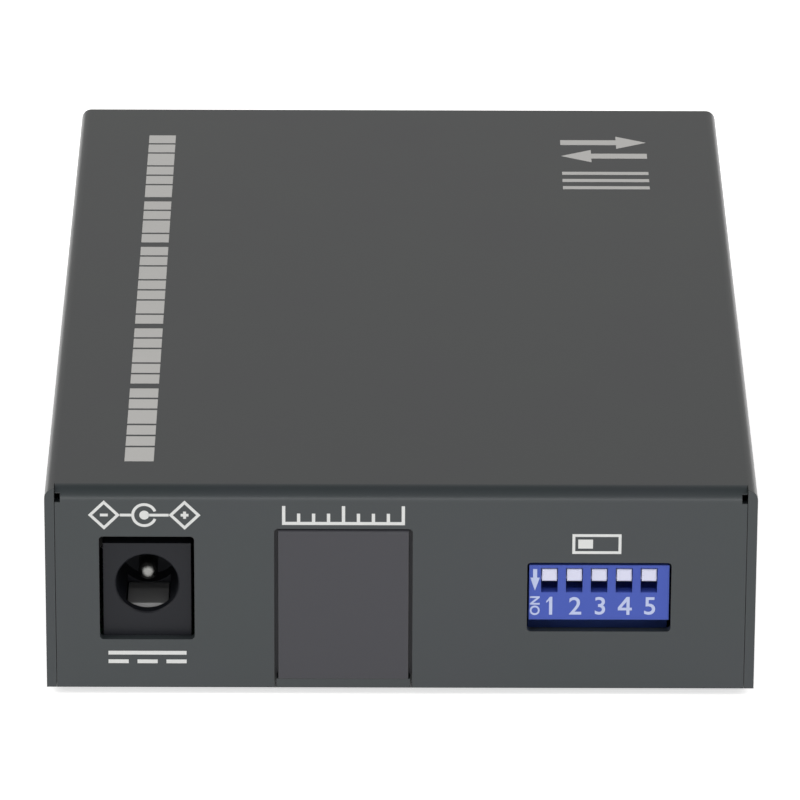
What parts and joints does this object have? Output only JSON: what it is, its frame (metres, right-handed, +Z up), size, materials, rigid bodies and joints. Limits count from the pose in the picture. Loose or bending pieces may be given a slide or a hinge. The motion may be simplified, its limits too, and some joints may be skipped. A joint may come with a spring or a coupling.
{
  "type": "fibre media converter",
  "caption": "Flat folded-steel fibre media converter with a DC socket, a blanked opening and blue slide switches at the rear, and copper and duplex fibre ports at the front.",
  "frame": {"origin": "under the middle of the case, in the plane of the feet's undersides", "axes": "+X to the right seen from behind, +Y from the rear wall to the front panel, +Z up"},
  "size_m": [0.0724, 0.108, 0.023],
  "materials": {
    "case_paint": "dark grey fine powder coat",
    "plate_paint": "dark grey moulded plastic",
    "black_plastic": "black moulded plastic",
    "blue_plastic": "blue moulded plastic",
    "white_plastic": "white moulded plastic",
    "steel": "zinc-plated steel",
    "nickel": "nickel plate",
    "tin": "tin plate",
    "gold": "gold flash on copper alloy",
    "board_laminate": "green solder mask",
    "foot_rubber": "black rubber",
    "ceramic": "white zirconia",
    "lamp_epoxy": "tinted epoxy",
    "chip_epoxy": "black epoxy",
    "ferrite": "dark ferrite",
    "can_sleeve": "black shrink sleeve"
  },
  "bodies": {
    "case": {"top_cover": "case_paint", "base_chassis": "case_paint", "cover_screws": "steel", "board_screws": "steel", "board_standoffs": "steel", "rubber_feet": "foot_rubber", "rear_blanking_plate": "plate_paint", "circuit_board": "board_laminate", "dc_jack_housing": "black_plastic", "dc_jack_pin": "nickel", "dc_jack_rear_blade": "tin", "dc_jack_side_blade": "tin", "dc_jack_spring": "nickel", "switch_housing": "blue_plastic", "switch_carrier": "black_plastic", "switch_pins": "tin", "lan_jack_housing": "black_plastic", "lan_jack_shield": "nickel", "lan_jack_contacts": "gold", "fibre_receptacle": "black_plastic", "fibre_sleeve_left": "ceramic", "fibre_sleeve_right": "ceramic", "transceiver_module": "black_plastic", "transceiver_pins": "tin", "lamp_holder": "black_plastic", "indicator_lamps": "lamp_epoxy", "lamp_leads": "tin", "magnetics_module": "chip_epoxy", "converter_chip": "chip_epoxy", "converter_chip_leads": "tin", "crystal": "nickel", "electrolytic_capacitors": "can_sleeve", "power_coil": "ferrite", "voltage_regulator": "chip_epoxy", "chip_resistors": "chip_epoxy", "ceramic_capacitors": "ceramic"},
    "slider_1": {"switch_slider_1": "white_plastic"},
    "slider_2": {"switch_slider_2": "white_plastic"},
    "slider_3": {"switch_slider_3": "white_plastic"},
    "slider_4": {"switch_slider_4": "white_plastic"},
    "slider_5": {"switch_slider_5": "white_plastic"}
  },
  "joints": [
    {"name": "switch_1", "type": "slide", "parent": "case", "child": "slider_1", "axis": [0, 0, -1], "range_m": [0, 0.0012]},
    {"name": "switch_2", "type": "slide", "parent": "case", "child": "slider_2", "axis": [0, 0, -1], "range_m": [0, 0.0012]},
    {"name": "switch_3", "type": "slide", "parent": "case", "child": "slider_3", "axis": [0, 0, -1], "range_m": [0, 0.0012]},
    {"name": "switch_4", "type": "slide", "parent": "case", "child": "slider_4", "axis": [0, 0, -1], "range_m": [0, 0.0012]},
    {"name": "switch_5", "type": "slide", "parent": "case", "child": "slider_5", "axis": [0, 0, -1], "range_m": [0, 0.0012]}
  ]
}
